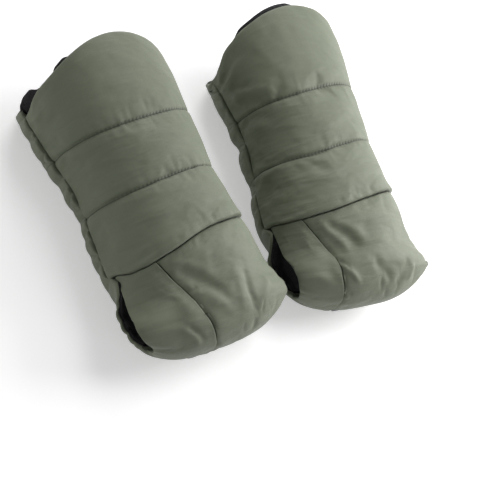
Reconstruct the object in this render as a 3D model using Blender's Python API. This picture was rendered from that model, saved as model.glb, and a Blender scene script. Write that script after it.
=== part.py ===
"""A pair of padded hand muffs for the crossbar of a stroller handle.

Each muff is a mitt that lies on its back: the cuff at +Y, the toe at -Y, the quilted front up.
It is sewn from a quilted front, a back that turns up at the toe, wadding and a fleece tube.
The toe hood is a separate flap: a main panel and a petal gusset, padded and lined. It hinges
at the front's hem and opens upwards, so that the muff can be laid on the bar, and it is closed
round the bar by two press studs at the toe. All lengths are in metres.
"""

import math

import bmesh
import bpy
import numpy as np
from mathutils import Matrix, Vector

# The pair on its bar
muff_spacing = 0.210
splay_angle = math.radians(4.5)

# Lengths of one muff, from the cuff's side edge to the toe
cuff_channel = 0.066
middle_channel = 0.067
hem_channel = 0.064
toe_length = 0.097
cuff_arch = 0.030
hem_slant = 0.0065
lining_proud = 0.003
wadding_inset = 0.005

# Half widths and heights of the sewn body, before the padding's crown
cuff_half_width = 0.083
waist_half_width = 0.0775
hem_half_width = 0.082
toe_half_width = 0.090
cuff_height = 0.105
hem_height = 0.093
toe_height = 0.079
seam_height = 0.041
resting_flat = 0.0015
section_power = 2.5
toe_power = 2.5

# How much of the hem's slant each line has: cuff, first stitch, second stitch, hem, bar
slant_shares = (0.0, 0.25, 0.5, 1.0, 0.0)

# Padding
channel_crown = 0.0065
side_crown_share = 0.20
hem_fold_share = 0.55
crown_sharpness = 0.6
back_crown_reach = math.radians(60)
hood_crown = 0.004
gusset_crown = 0.005

# Layers, from the outside in
shell_thickness = 0.0014
wadding_thickness = 0.0065
fleece_thickness = 0.003
layer_gap = 0.0005
seam_gap = 0.0004

# Bar, slit and hood
bar_inset = 0.042
passage_radius = 0.0215
slit_above = 0.010
slit_below = 0.006
seam_allowance = 0.003
passage_allowance = 0.009
hem_clearance = 0.0005
hinge_rise = 0.002
lip_angle = math.radians(-36)
flap_angle = math.radians(4)
flap_step_angle = math.radians(-42)
flap_depth = 0.0068
lip_padding_angle = math.radians(14)

# Seam between the hood's main panel and its gusset, as shares of the half width
gusset_hem_share = 0.77
gusset_toe_share = 0.40
gusset_lip_share = 0.62
gusset_turn_share = 0.70
gusset_swing_power = 1.5

# Press studs
stud_angle = math.radians(-21)
toe_corner_radius = 0.022
stud_offset = 0.030
cap_radius = 0.0060
cap_dome = 0.0015
cap_rim = 0.0006
cap_shoulder_share = 0.6
cap_shoulder_rise = 0.8
shank_radius = 0.0015
shank_clearance = 0.0004
seat_gap = 0.0003
socket_radius = 0.0052
socket_thickness = 0.0026
socket_bore = 0.0038
socket_web = 0.0010
stud_base = 0.0009
stud_head_radius = 0.0018
stud_engagement = 0.0007
post_flange = 0.0010
cutter_overrun = 0.004

# Facets
channel_rows = 4
front_columns = 18
back_rows = 4
back_columns = 12
hood_rows = 3
round_rows = 9
panel_columns = 12
gusset_columns = 4
stud_segments = 12
sharp_edge = math.radians(35)

# Derived lines along the muff
first_stitch = cuff_channel
second_stitch = first_stitch + middle_channel
hem_line = second_stitch + hem_channel
toe_end = hem_line + toe_length
bar_line = toe_end - bar_inset
padding_depth = shell_thickness + layer_gap + wadding_thickness
lining_depth = padding_depth + layer_gap
lining_inner = lining_depth + fleece_thickness
hinge_height = hem_height + channel_crown * hem_fold_share + hinge_rise
hinge_line = hem_line + hem_clearance / 2
hinge_slant = math.atan(hem_slant / hem_half_width)
curve_relief = socket_radius**2 / toe_corner_radius / 2

LEFT, RIGHT = -1, 1
FABRIC_GREEN = (0.205, 0.228, 0.172, 1.0)
FLEECE_BLACK = (0.012, 0.013, 0.017, 1.0)
WADDING_WHITE = (0.80, 0.80, 0.77, 1.0)
GUNMETAL = (0.16, 0.16, 0.165, 1.0)


def clear_scene():
    for old in list(bpy.data.objects):
        bpy.data.objects.remove(old, do_unlink=True)


def make_material(name, colour, roughness, metallic=0.0):
    material = bpy.data.materials.new(name)
    material.use_nodes = True
    shader = material.node_tree.nodes["Principled BSDF"]
    shader.inputs["Base Color"].default_value = colour
    shader.inputs["Roughness"].default_value = roughness
    shader.inputs["Metallic"].default_value = metallic
    return material


def signed_power(value, exponent):
    return math.copysign(abs(value) ** exponent, value)


def half_width(along):
    widths = [cuff_half_width, waist_half_width, hem_half_width, toe_half_width]
    return float(np.interp(along, [0, second_stitch, hem_line, toe_end], widths))


def top_height(along):
    return float(np.interp(along, [0, hem_line, bar_line], [cuff_height, hem_height, toe_height]))


def fullness(share):
    """The rounded rise of padding between two stitch lines, from 0 at each line to 1 between them."""
    return (max(0.0, 4 * share * (1 - share))) ** crown_sharpness


def channel_lift(along, angle):
    """How far the padding pushes the front and the back out between the stitch lines."""
    if along < first_stitch:
        rise = fullness(max(0.0, along) / cuff_channel)
    elif along < second_stitch:
        rise = fullness((along - first_stitch) / middle_channel)
    else:
        share = min(1.0, (along - second_stitch) / hem_channel)
        rise = max(fullness(share), hem_fold_share * min(1.0, 2 * share))
    side = side_crown_share + (1 - side_crown_share) * abs(math.sin(angle))
    return channel_crown * rise * side


# A station is a kind and a value. "over" and "under" are cross-sections of the upper and the lower
# half at a length along the muff. "round" is an angle about the bar, from 90 degrees at the top
# through 0 at the toe to -90 at the bottom. An angle goes round each section, 0 at the right side.


def section_shares(angle):
    across = signed_power(math.cos(angle), 2 / section_power)
    rise = abs(math.sin(angle)) ** (2 / section_power)
    return across, rise


def arched(along, across):
    """The cuff's edge arches over the hand, and the first channel takes that up."""
    if along >= cuff_channel:
        return along
    return along - cuff_arch * (1 - across**2) * (1 - along / cuff_channel)


def slanted(along, across):
    """The hem runs a little across the muff, and the stitch lines follow it by their shares."""
    lines = (0, first_stitch, second_stitch, hem_line, bar_line)
    return along - hem_slant * across * float(np.interp(along, lines, slant_shares))


def outline_point(station, angle):
    """A point on the sewn surface and the direction straight out of it."""
    kind, value = station
    across, rise = section_shares(angle)
    if kind == "round":
        reach = abs(math.cos(value)) ** (2 / toe_power)
        climb = signed_power(math.sin(value), 2 / toe_power)
        height = top_height(bar_line) - seam_height if value > 0 else seam_height + resting_flat
        along = bar_line + bar_inset * reach * rise
        up = seam_height + height * climb * rise
        width = half_width(along)
        slope_along = reach ** (toe_power - 1) / bar_inset
        slope_up = signed_power(climb, toe_power - 1) / height
        share = rise ** (section_power - 1)
        normal = Vector((signed_power(across, section_power - 1) / width, share * slope_along, share * slope_up))
    else:
        along = arched(slanted(value, across), across)
        width = half_width(along)
        height = top_height(along) - seam_height if kind == "over" else seam_height + resting_flat
        turn = 1 if kind == "over" else -1
        up = seam_height + turn * height * rise
        normal = Vector((signed_power(across, section_power - 1) / width, 0.0, 0.0))
        normal.z = turn * rise ** (section_power - 1) / height
    return Vector((width * across, along, up)), normal.normalized()


def layer_point(station, angle, depth, lift=0.0):
    """The same point, pushed out by lift and in by depth, kept above the surface it rests on."""
    point, normal = outline_point(station, angle)
    point += normal * (lift - depth)
    lowest = max(0.0, depth)
    return Vector((point.x, point.y, max(point.z, lowest)))


def placed(point):
    """From across, along and up to the muff's own frame, whose Y runs from the bar to the cuff."""
    return Vector((point.x, bar_line - point.y, point.z))


def edge_angle(distance, height):
    """The section angle at which a surface of this height stands this far from the seam line."""
    return math.asin(min(1.0, distance / height) ** (section_power / 2))


def round_height(turn):
    reach = bar_inset * abs(math.cos(turn)) ** (2 / toe_power)
    height = top_height(bar_line) - seam_height if turn > 0 else seam_height + resting_flat
    return math.hypot(reach, height * abs(math.sin(turn)) ** (2 / toe_power))


def open_edge(station, padded=False):
    """Where a piece stops at its side: at the side seam, at the slit or round the bar.

    Padding and lining stop short of the shell's edge, so that the bar has room between them."""
    kind, value = station
    if kind == "round":
        return edge_angle(passage_radius + passage_allowance * padded, round_height(value))
    height = top_height(value) - seam_height if kind == "over" else seam_height + resting_flat
    if value <= hem_line:
        return edge_angle(seam_gap / 2 + seam_allowance * padded, height)
    start = slit_above if kind == "over" else slit_below
    share = (value - hem_line) / (bar_line - hem_line)
    allowance = seam_allowance + (passage_allowance - seam_allowance) * share
    return edge_angle(start + (passage_radius - start) * share**2 + allowance * padded, height)


def spread(first, last, count):
    return [first + (last - first) * step / count for step in range(count + 1)]


def full_columns(station, count):
    """Angles across a section: the padding's columns and, outside them, the shell's edges."""
    edge, padded = open_edge(station), open_edge(station, padded=True)
    return [edge] + spread(padded, math.pi - padded, count) + [math.pi - edge]


def gusset_seam(share):
    """Angle of the gusset's seam up from the side, from the hem (0) to the lip (1)."""
    if share < gusset_turn_share:
        swing = math.cos(math.pi / 2 * share / gusset_turn_share) ** gusset_swing_power
        across = gusset_toe_share + (gusset_hem_share - gusset_toe_share) * swing
    else:
        swing = math.sin(math.pi / 2 * (share - gusset_turn_share) / (1 - gusset_turn_share)) ** 2
        across = gusset_toe_share + (gusset_lip_share - gusset_toe_share) * swing
    return math.acos(across ** (section_power / 2))


def hood_stations(first, last_turn):
    """Stations of the hood, from a line along its top, over the bar, to an angle at the toe."""
    tops = [("over", along) for along in spread(first, bar_line, hood_rows)]
    turns = [("round", turn) for turn in spread(math.pi / 2, lip_angle, round_rows)[1:]]
    kept = [station for station in turns if station[1] > last_turn + seam_gap]
    return tops + kept + [("round", last_turn)]


def hood_share(station):
    """How far a station is along the hood, from 0 at the hem to 1 at the lip."""
    kind, value = station
    top = bar_line - hem_line
    around = (math.pi / 2 - lip_angle) * (bar_inset + toe_height - seam_height) / 2
    if kind == "over":
        return max(0.0, value - hem_line) / (top + around)
    return (top + around * (math.pi / 2 - value) / (math.pi / 2 - lip_angle)) / (top + around)


def hood_columns(station):
    """Angles across the hood: the main panel, from the right slit to the seam, and the gusset."""
    edge, padded = open_edge(station), open_edge(station, padded=True)
    seam = math.pi - gusset_seam(hood_share(station))
    main = [edge] + spread(padded, seam, panel_columns)
    gusset = spread(seam, math.pi - padded, gusset_columns - 1) + [math.pi - edge]
    return main + gusset[1:]


def hood_lift(station, angle):
    """The hood's padding: one low crown on the main panel and one on the gusset."""
    kind, value = station
    if kind == "round" and value < lip_padding_angle:
        return 0.0
    seam = math.pi - gusset_seam(hood_share(station))
    edge = open_edge(station)
    end = hood_share(("round", lip_padding_angle))
    lengthwise = fullness(min(1.0, hood_share(station) / end))
    if angle < seam:
        return hood_crown * lengthwise * fullness(max(0.0, angle - edge) / (seam - edge))
    outer = math.pi - edge
    return gusset_crown * lengthwise * fullness(max(0.0, outer - angle) / (outer - seam))


def body_from_grids(name, outer, inner, material, ring=False):
    """One closed solid between an outer and an inner grid of points of the same size."""
    mesh = bmesh.new()
    rows, columns = len(outer), len(outer[0])
    skins = [[[mesh.verts.new(placed(p)) for p in row] for row in grid] for grid in (outer, inner)]
    last = columns if ring else columns - 1
    for skin in skins:
        for row in range(rows - 1):
            for column in range(last):
                right = (column + 1) % columns
                corners = (skin[row][column], skin[row][right], skin[row + 1][right], skin[row + 1][column])
                mesh.faces.new(corners)
    out, into = skins
    for row in (0, rows - 1):
        for column in range(last):
            right = (column + 1) % columns
            mesh.faces.new((out[row][column], out[row][right], into[row][right], into[row][column]))
    if not ring:
        for column in (0, columns - 1):
            for row in range(rows - 1):
                corners = (out[row][column], out[row + 1][column], into[row + 1][column], into[row][column])
                mesh.faces.new(corners)
    bmesh.ops.recalc_face_normals(mesh, faces=mesh.faces)
    return finish_mesh(name, mesh, material)


def finish_mesh(name, mesh, material):
    data = bpy.data.meshes.new(name)
    mesh.to_mesh(data)
    mesh.free()
    data.shade_smooth()
    data.set_sharp_from_angle(angle=sharp_edge)
    data.materials.append(material)
    made = bpy.data.objects.new(name, data)
    bpy.context.scene.collection.objects.link(made)
    return made


def layer(name, stations, columns, depths, material, lift=None, lift_inner=True):
    """A padded layer over these stations. depths are its outer and inner depth at each station."""
    outer, inner = [], []
    for station in stations:
        shallow, deep = depths(station)
        angles = columns(station)
        if station[0] == "under":
            angles = [-angle for angle in angles]
        rises = [lift(station, angle) if lift else 0.0 for angle in angles]
        outer.append([layer_point(station, a, shallow, r) for a, r in zip(angles, rises)])
        inner.append([layer_point(station, a, deep, r if lift_inner else 0.0) for a, r in zip(angles, rises)])
    return body_from_grids(name, outer, inner, material)


def constant(shallow, deep):
    return lambda station: (shallow, deep)


def front_lift(station, angle):
    return channel_lift(station[1], angle)


def back_lift(station, angle):
    """The stitch lines show faintly in the back's sides and leave its resting flat alone."""
    kind, value = station
    if kind == "round" or value > hem_line:
        return 0.0
    return channel_lift(value, angle) * max(0.0, 1 - abs(math.sin(angle)) / math.sin(back_crown_reach))


def channel_stations(kind):
    """Rows from the wadding's edge to the hem, on both stitch lines and closer together near them."""
    stations = []
    for start, end in ((wadding_inset, first_stitch), (first_stitch, second_stitch), (second_stitch, hem_line)):
        for step in range(channel_rows):
            eased = (1 - math.cos(math.pi * step / channel_rows)) / 2
            stations.append((kind, start + (end - start) * eased))
    return stations + [(kind, hem_line)]


def front_angles(station):
    return full_columns(station, front_columns)


def back_angles(station):
    """The flap behind the hood's lip stands deeper, so its edges keep further from the bar."""
    kind, value = station
    if kind == "round" and value > flap_step_angle:
        edge = edge_angle(passage_radius + flap_depth, round_height(value))
        angles = full_columns(station, back_columns)
        return [edge] + angles[1:-1] + [math.pi - edge]
    return full_columns(station, back_columns)


def inside(columns):
    """The padding's columns: all but the shell's edges."""
    return lambda station: columns(station)[1:-1]


def make_front(side, materials):
    """Quilted front shell and the wadding that fills its channels."""
    green, _, white, _ = materials
    shell_depths = constant(0.0, shell_thickness)
    rows = channel_stations("over")
    shell = layer(f"{side}_quilted_front", [("over", 0.0)] + rows, front_angles,
                  shell_depths, green, front_lift)
    wadding_depths = constant(shell_thickness + layer_gap, padding_depth)
    wadding = layer(f"{side}_front_wadding", rows, inside(front_angles),
                    wadding_depths, white, front_lift, lift_inner=False)
    return [shell, wadding]


def back_depths(shallow, deep):
    """The back's layers run along the bottom, and step in behind the hood's lip at the toe."""
    def depths(station):
        kind, value = station
        step = flap_depth if kind == "round" and value > flap_step_angle else 0.0
        return shallow + step, deep + step
    return depths


def back_stations(last_turn):
    tube = channel_stations("under")
    under = [("under", along) for along in spread(hem_line, bar_line, hood_rows)[1:]]
    low = [("round", turn) for turn in spread(-math.pi / 2, flap_step_angle, back_rows)[1:]]
    step = [("round", lip_angle - seam_gap)]
    high = [("round", turn) for turn in spread(lip_angle, flap_angle, back_rows)[1:]]
    return [s for s in tube + under + low + step + high if s[0] != "round" or s[1] <= last_turn]


def make_back(side, materials):
    """Back shell with its upturned flap, the wadding over it, and the toe's lower lining."""
    green, black, white, _ = materials
    shell = layer(f"{side}_back_shell", [("under", 0.0)] + back_stations(flap_angle), back_angles,
                  back_depths(0.0, shell_thickness), green, back_lift)
    wadding = layer(f"{side}_back_wadding", back_stations(flap_step_angle), inside(back_angles),
                    back_depths(shell_thickness + layer_gap, padding_depth), white, back_lift, lift_inner=False)
    lining_rows = [s for s in back_stations(flap_step_angle) if s[0] == "round" or s[1] > hem_line]
    lining = layer(f"{side}_toe_lining", lining_rows, inside(back_angles),
                   back_depths(lining_depth, lining_inner), black)
    return [shell, wadding, lining]


def make_lining(side, materials):
    """The fleece tube that the hand goes into: it stands a little proud of the cuff."""
    _, black, _, _ = materials
    outer, inner = [], []
    for along in (-lining_proud, first_stitch, second_stitch, hem_line):
        ring_out, ring_in = [], []
        for kind, turn, count in (("over", 1, front_columns), ("under", -1, back_columns)):
            angles = full_columns((kind, 0.0), count)[1:-1]
            angles = angles if turn > 0 else [-angle for angle in reversed(angles)]
            ring_out += [layer_point((kind, along), angle, lining_depth) for angle in angles]
            ring_in += [layer_point((kind, along), angle, lining_inner) for angle in angles]
        outer.append(ring_out)
        inner.append(ring_in)
    return [body_from_grids(f"{side}_fleece_lining", outer, inner, black, ring=True)]


def make_hood(side, materials):
    """Main panel, petal gusset, wadding and lining of the toe hood."""
    green, black, white, _ = materials
    first = hem_line + hem_clearance
    rows = hood_stations(first, lip_angle)
    pieces = []
    cut = seam_gap / 2 / hem_half_width

    def panel_angles(station):
        angles = hood_columns(station)[: panel_columns + 2]
        return angles[:-1] + [angles[-1] - cut]

    def gusset_angles(station):
        angles = hood_columns(station)[panel_columns + 1 :]
        return [angles[0] + cut] + angles[1:]

    shell_depths = constant(0.0, shell_thickness)
    pieces.append(layer(f"{side}_toe_panel", rows, panel_angles, shell_depths, green, hood_lift))
    pieces.append(layer(f"{side}_toe_gusset", rows, gusset_angles, shell_depths, green, hood_lift))
    padded_rows = hood_stations(first, lip_padding_angle)
    wadding_depths = constant(shell_thickness + layer_gap, padding_depth)
    pieces.append(layer(f"{side}_hood_wadding", padded_rows, inside(hood_columns), wadding_depths, white,
                        hood_lift, lift_inner=False))
    pieces.append(layer(f"{side}_hood_lining", padded_rows, inside(hood_columns),
                        constant(lining_depth, lining_inner), black))
    return pieces


def turned(name, profile, seat, material):
    """A turned piece: a profile of radius and depth points, spun about the seat's axis."""
    mesh = bmesh.new()
    points = [mesh.verts.new(Vector((radius, 0.0, -depth))) for radius, depth in profile]
    edges = [mesh.edges.new((a, b)) for a, b in zip(points, points[1:])]
    if profile[0][0] > 0:
        edges.append(mesh.edges.new((points[-1], points[0])))
    bmesh.ops.spin(mesh, geom=points + edges, cent=(0, 0, 0), axis=(0, 0, 1), angle=math.tau,
                   steps=stud_segments, use_merge=True)
    bmesh.ops.remove_doubles(mesh, verts=mesh.verts, dist=seat_gap / 10)
    bmesh.ops.recalc_face_normals(mesh, faces=mesh.faces)
    mesh.transform(seat)
    return finish_mesh(name, mesh, material)


def stud_seat(hand):
    """Frame of one press stud: its origin on the hood's surface, its Z straight out of it."""
    station = ("round", stud_angle)
    across = stud_offset / half_width(bar_line + bar_inset)
    angle = math.acos(across ** (section_power / 2))
    angle = angle if hand == RIGHT else math.pi - angle
    point, normal = outline_point(station, angle)
    facing = Vector((normal.x, -normal.y, normal.z))
    return Matrix.Translation(placed(point)) @ facing.to_track_quat("Z", "Y").to_matrix().to_4x4()


def make_studs(side, materials):
    """Cap and socket in the hood's lip, stud and post in the back's flap, twice."""
    *_, metal = materials
    on_hood, on_back, cutters = [], [], []
    hood_inside = shell_thickness
    socket_top = hood_inside + seat_gap + curve_relief
    socket_end = socket_top + socket_thickness
    stud_top = flap_depth - seat_gap - stud_base
    head_top = socket_end - stud_engagement
    post_face = flap_depth + shell_thickness + seat_gap + curve_relief
    bore = shank_radius + shank_clearance
    cap = [(0, -cap_dome - seat_gap), (cap_radius * cap_shoulder_share, -cap_dome * cap_shoulder_rise - seat_gap),
           (cap_radius, -cap_rim - seat_gap), (cap_radius, -seat_gap), (shank_radius, -seat_gap),
           (shank_radius, socket_top + socket_web), (0, socket_top + socket_web)]
    socket = [(bore, socket_top), (socket_radius, socket_top), (socket_radius, socket_end),
              (socket_bore, socket_end), (socket_bore, socket_top + socket_web), (bore, socket_top + socket_web)]
    stud = [(0, head_top), (stud_head_radius, head_top), (stud_head_radius, stud_top),
            (socket_radius, stud_top), (socket_radius, stud_top + stud_base), (0, stud_top + stud_base)]
    post = [(0, flap_depth), (shank_radius, flap_depth),
            (shank_radius, post_face), (socket_radius, post_face),
            (socket_radius, post_face + post_flange), (0, post_face + post_flange)]
    for hand, word in ((LEFT, "left"), (RIGHT, "right")):
        seat = stud_seat(hand)
        on_hood.append(turned(f"{side}_snap_cap_{word}", cap, seat, metal))
        on_hood.append(turned(f"{side}_snap_socket_{word}", socket, seat, metal))
        on_back.append(turned(f"{side}_snap_stud_{word}", stud, seat, metal))
        on_back.append(turned(f"{side}_snap_post_{word}", post, seat, metal))
        hole = [(0, -cutter_overrun), (bore, -cutter_overrun), (bore, flap_depth + cutter_overrun),
                (0, flap_depth + cutter_overrun)]
        cutter = turned(f"{side}_stud_hole_{word}", hole, seat, metal)
        cutter.hide_render = True
        cutter.display_type = "WIRE"
        cutters.append(cutter)
    return on_hood, on_back, cutters


def cut_holes(piece, cutters):
    for cutter in cutters:
        cut = piece.modifiers.new(cutter.name, "BOOLEAN")
        cut.operation = "DIFFERENCE"
        cut.solver = "EXACT"
        cut.object = cutter


def make_muff(side, hand, materials):
    """One muff on its own empty, with the hood's pieces on a second empty at the hinge."""
    muff = bpy.data.objects.new(f"muff_{side}", None)
    hinge = bpy.data.objects.new(f"hood_hinge_{side}", None)
    for empty in (muff, hinge):
        bpy.context.scene.collection.objects.link(empty)
    muff.location = (hand * muff_spacing / 2, 0, 0)
    muff.rotation_euler = (0, 0, -hand * splay_angle)
    hinge.parent = muff
    hinge.location = (0, bar_line - hinge_line, hinge_height)
    hinge.rotation_euler = (0, 0, hinge_slant)
    body = make_front(side, materials) + make_back(side, materials) + make_lining(side, materials)
    hood = make_hood(side, materials)
    on_hood, on_back, cutters = make_studs(side, materials)
    cut_holes(hood[0], cutters)
    cut_holes(body[2], cutters)
    for piece in body + on_back + cutters:
        piece.parent = muff
    for piece in hood + on_hood:
        piece.data.transform(hinge.matrix_basis.inverted())
        piece.parent = hinge
    return muff


def centre_on_origin(muffs):
    """Moves the pair so that its box is centred over the origin."""
    bpy.context.view_layer.update()
    corners = [made.matrix_world @ vertex.co for made in bpy.data.objects if made.type == "MESH"
               and not made.hide_render for vertex in made.data.vertices]
    middle = (min(c.y for c in corners) + max(c.y for c in corners)) / 2
    for muff in muffs:
        muff.location.y -= middle
    bpy.context.view_layer.update()
    return middle


def main():
    clear_scene()
    materials = (
        make_material("green_shell_fabric", FABRIC_GREEN, 0.55),
        make_material("black_fleece", FLEECE_BLACK, 0.95),
        make_material("white_wadding", WADDING_WHITE, 0.9),
        make_material("gunmetal_snaps", GUNMETAL, 0.35, 1.0),
    )
    muffs = [make_muff("left", LEFT, materials), make_muff("right", RIGHT, materials)]
    middle = centre_on_origin(muffs)
    print(f"bar axis at y = {-middle:.5f}")
    for side in ("left", "right"):
        hinge = bpy.data.objects[f"hood_hinge_{side}"].matrix_world
        axis = hinge.to_3x3() @ Vector((-1, 0, 0))
        print(f"{side} hood hinge at", [round(c, 6) for c in hinge.translation], "axis", [round(c, 6) for c in axis])


main()
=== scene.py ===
# %% [markdown]
# # A pair of padded hand muffs for a stroller handle
#
# The photograph shows two quilted mitts on the crossbar of a stroller. Each one is sewn from a few
# cloth panels over wadding, with a black fleece tube inside and a toe hood that opens like a lid.
# This script dresses the imported CAD model. The CAD solids say where each layer is, and every visible
# layer is made again here as cloth: finer, softer, with the puckers and folds that sewing gives it.
#
# First the imported model is opened. It stays a fixed frame: each piece made below rides on one of its
# bodies, so that the hoods still swing.

# %% Open the imported model
import math

import bmesh
import bpy
import numpy as np
from mathutils import Matrix, Vector


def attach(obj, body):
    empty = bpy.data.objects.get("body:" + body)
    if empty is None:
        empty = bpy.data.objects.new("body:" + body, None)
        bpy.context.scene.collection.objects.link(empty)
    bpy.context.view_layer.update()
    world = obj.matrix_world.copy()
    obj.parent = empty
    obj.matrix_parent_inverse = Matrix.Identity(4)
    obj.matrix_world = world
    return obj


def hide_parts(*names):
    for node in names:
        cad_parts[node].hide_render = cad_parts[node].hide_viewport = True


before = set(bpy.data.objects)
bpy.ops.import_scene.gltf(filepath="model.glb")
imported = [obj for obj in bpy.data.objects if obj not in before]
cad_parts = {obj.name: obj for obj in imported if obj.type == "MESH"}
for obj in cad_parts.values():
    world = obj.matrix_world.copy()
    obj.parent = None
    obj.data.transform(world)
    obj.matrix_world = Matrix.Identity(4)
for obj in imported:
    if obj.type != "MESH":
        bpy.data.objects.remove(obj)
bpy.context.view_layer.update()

# %% [markdown]
# The driving sizes are those of the CAD source, in metres. A path runs along each muff: from the
# cuff's side edge at 0, over the two stitch lines and the hem, to the line above the handlebar, and
# then on round the toe, where each radian of the turn counts as 35 mm.

# %% Sizes shared with the CAD source
MUFF_SPACING, SPLAY = 0.210, math.radians(4.5)
BAR_Y = -0.12095
FIRST, SECOND, HEM, BAR = 0.066, 0.133, 0.197, 0.252
TOE_INSET, TURN_LENGTH = 0.042, 0.035
ARCH = 0.030
SEAM, RESTING, TOE_HALF_WIDTH = 0.041, 0.0015, 0.090
ROUNDNESS = 2 / 2.5
PADDING, LINING_TOP, LINING_BOTTOM = 0.0084, 0.0089, 0.0119
CROWN, FLAP_DEPTH = 0.0065, 0.0068
LIP_ANGLE, FLAP_ANGLE, STEP_ANGLE = math.radians(-36), math.radians(4), math.radians(-42)
STUD_ANGLE, STUD_OFFSET = math.radians(-21), 0.030
PASSAGE = 0.0186
PADDING_END = math.radians(14)
SIDES = {"left": -1, "right": 1}


def turn_path(angle, upper=True):
    """Path at which the surface over (or under) the bar has turned to this angle."""
    return BAR + TURN_LENGTH * (math.pi / 2 - angle if upper else math.pi / 2 + angle)


LIP, THIN = turn_path(LIP_ANGLE), turn_path(PADDING_END)
FLAP, STEP = turn_path(FLAP_ANGLE, upper=False), turn_path(STEP_ANGLE, upper=False)
print("toe reached at path", round(turn_path(0), 4), "lip at", round(LIP, 4))

# %% [markdown]
# Sewn lines are never quite straight. WANDER says how far each of them runs from its plain place, in
# millimetres, at seven places from a muff's left edge to its right one. OUTWARD says how far the side
# edges stand outside their plain place, and SEAM_DROP how far the seams there sag. Straight lines would
# look like a drawing, and noise would put the bends in the wrong places, so all were measured off the
# photograph.

# %% How the sewn lines wander
ACROSS = (-1, -0.95, -0.85, -0.6, 0, 0.6, 1)
LINES = (0, FIRST, SECOND, HEM, BAR)
WANDER = {
    "left": (
        (3, 3.5, 4, 4, 3, 4, 5), (0, 0.5, 1, 2, 1.5, 0, -1), (-3, -2.2, -1, 0, -2, -3.5, -4),
        (-2, 4, 7, 5.5, -5, -9, -12), (0,) * 7,
    ),
    "right": (
        (6, 1, -2, -2, -3, -6, -9), (4, 4.5, 5, 5, 0, -4, -6), (2, 3.5, 5, 7, 1, -5, -7),
        (0, 4, 7, 8, 1, -8, -13), (0,) * 7,
    ),
}


def curve_through(x, places, values, level=False):
    """A smooth curve through a few measured points, or soft steps that are level at each of them."""
    places, values = np.asarray(places, float), np.asarray(values, float)
    slopes = 0 * values if level else np.gradient(values, places)
    spot = np.clip(np.searchsorted(places, x, side="right") - 1, 0, len(places) - 2)
    width = places[spot + 1] - places[spot]
    t = np.clip((x - places[spot]) / width, 0, 1)
    start = values[spot] * (1 + 2 * t) * (1 - t) ** 2 + slopes[spot] * width * t * (1 - t) ** 2
    return start + values[spot + 1] * t**2 * (3 - 2 * t) - slopes[spot + 1] * width * t**2 * (1 - t)


EDGE_LINES = (0, 0.033, FIRST, 0.100, SECOND, 0.165, HEM, 0.225, BAR, 0.294)
OUTWARD = {
    ("left", -1): (3, 2.5, 2, -2.5, 1, 4.5, 6.5, 5, 3, 0),
    ("left", 1): (5, 5, 2.5, 1, -1, -1, 0, 0, 0, 0),
    ("right", -1): (0, -3, -4.5, -3.5, 4, 10, 12.5, 10, 5, 0),
    ("right", 1): (7, 5, -1, -4, -5, -6, -4, -4, -4, -2),
}
SEAM_DROP = {"left": (4, 4, 3, 4, 5, 5, 5, 2, 0, 0), "right": (4, 3, 2, 2, 3, 4, 4, 1, 0, 0)}


def outward(side, hand, path):
    """How far one edge of a muff stands outside its plain place."""
    return curve_through(path, EDGE_LINES, OUTWARD[side, hand]) / 1000


def wander(side, along, across):
    shifts = [curve_through(across, ACROSS, row) / 1000 for row in WANDER[side]]
    total = shifts[0]
    for start, end, before, after in zip(LINES, LINES[1:], shifts, shifts[1:]):
        total = total + (after - before) * np.clip((along - start) / (end - start), 0, 1)
    return total


print("hem runs from", WANDER["left"][3][0], "to", WANDER["left"][3][-1], "mm off its plain place")

# %% [markdown]
# The sewn shape is a rounded box section that is swept along the path. It is the same formula as in
# the CAD source, so that the cloth lies where the solids are. An angle goes round each section: 0 at
# the right seam, a half turn at the left one.

# %% The sewn shape
def power(value, exponent):
    return np.sign(value) * np.abs(value) ** exponent


def half_width(along):
    return np.interp(along, (0, SECOND, HEM, BAR + TOE_INSET), (0.083, 0.0775, 0.082, TOE_HALF_WIDTH))


def top_height(along):
    """Straight to the hem, then in a soft curve that is level over the bar."""
    straight = 0.105 - 0.012 * np.minimum(along, HEM) / HEM
    x = np.clip((along - HEM) / (BAR - HEM), 0, 1)
    return straight - 0.0034 * x * (1 - x) ** 2 - 0.014 * x * x * (3 - 2 * x)


def sewn(side, path, angle, upper=True):
    """Points of the sewn shape: across the muff, from the bar towards the cuff, and up."""
    path, angle = np.broadcast_arrays(np.asarray(path, float), np.asarray(angle, float))
    across, rise = power(np.cos(angle), ROUNDNESS), np.abs(np.sin(angle)) ** ROUNDNESS
    along = np.minimum(path, BAR)
    along = along + wander(side, along, across)
    along = along - np.where(along < FIRST, ARCH * (1 - across**2) * (1 - along / FIRST), 0)
    turn = (math.pi / 2 - np.maximum(path - BAR, 0) / TURN_LENGTH) * (1 if upper else -1)
    side_shift = np.where(across > 0, outward(side, 1, path), -outward(side, -1, path))
    reach, climb = np.abs(np.cos(turn)) ** ROUNDNESS, power(np.sin(turn), ROUNDNESS)
    height = np.where(turn > 0, top_height(along) - SEAM, SEAM + RESTING)
    along = np.where(path > BAR, BAR + TOE_INSET * reach * rise, along)
    up = SEAM + height * climb * rise
    up = up - curve_through(path, EDGE_LINES, SEAM_DROP[side]) / 1000 * np.abs(across) ** 3
    width = half_width(along) * across + side_shift * np.abs(across) ** 1.5
    return np.stack([width, BAR - along, np.maximum(up, 0)], -1)


def edge_angle(side, path, distance, upper=True):
    """Section angle at which the cloth stands this far from the seam line, or from the bar's axis."""
    middle = sewn(side, path, math.pi / 2, upper)
    height = math.hypot(middle[1] if path > BAR else 0, middle[2] - SEAM)
    return math.asin(min(1.0, distance / height) ** (1 / ROUNDNESS))


print("top of the cuff at", np.round(sewn("left", 0.0, math.pi / 2), 4))

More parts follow.
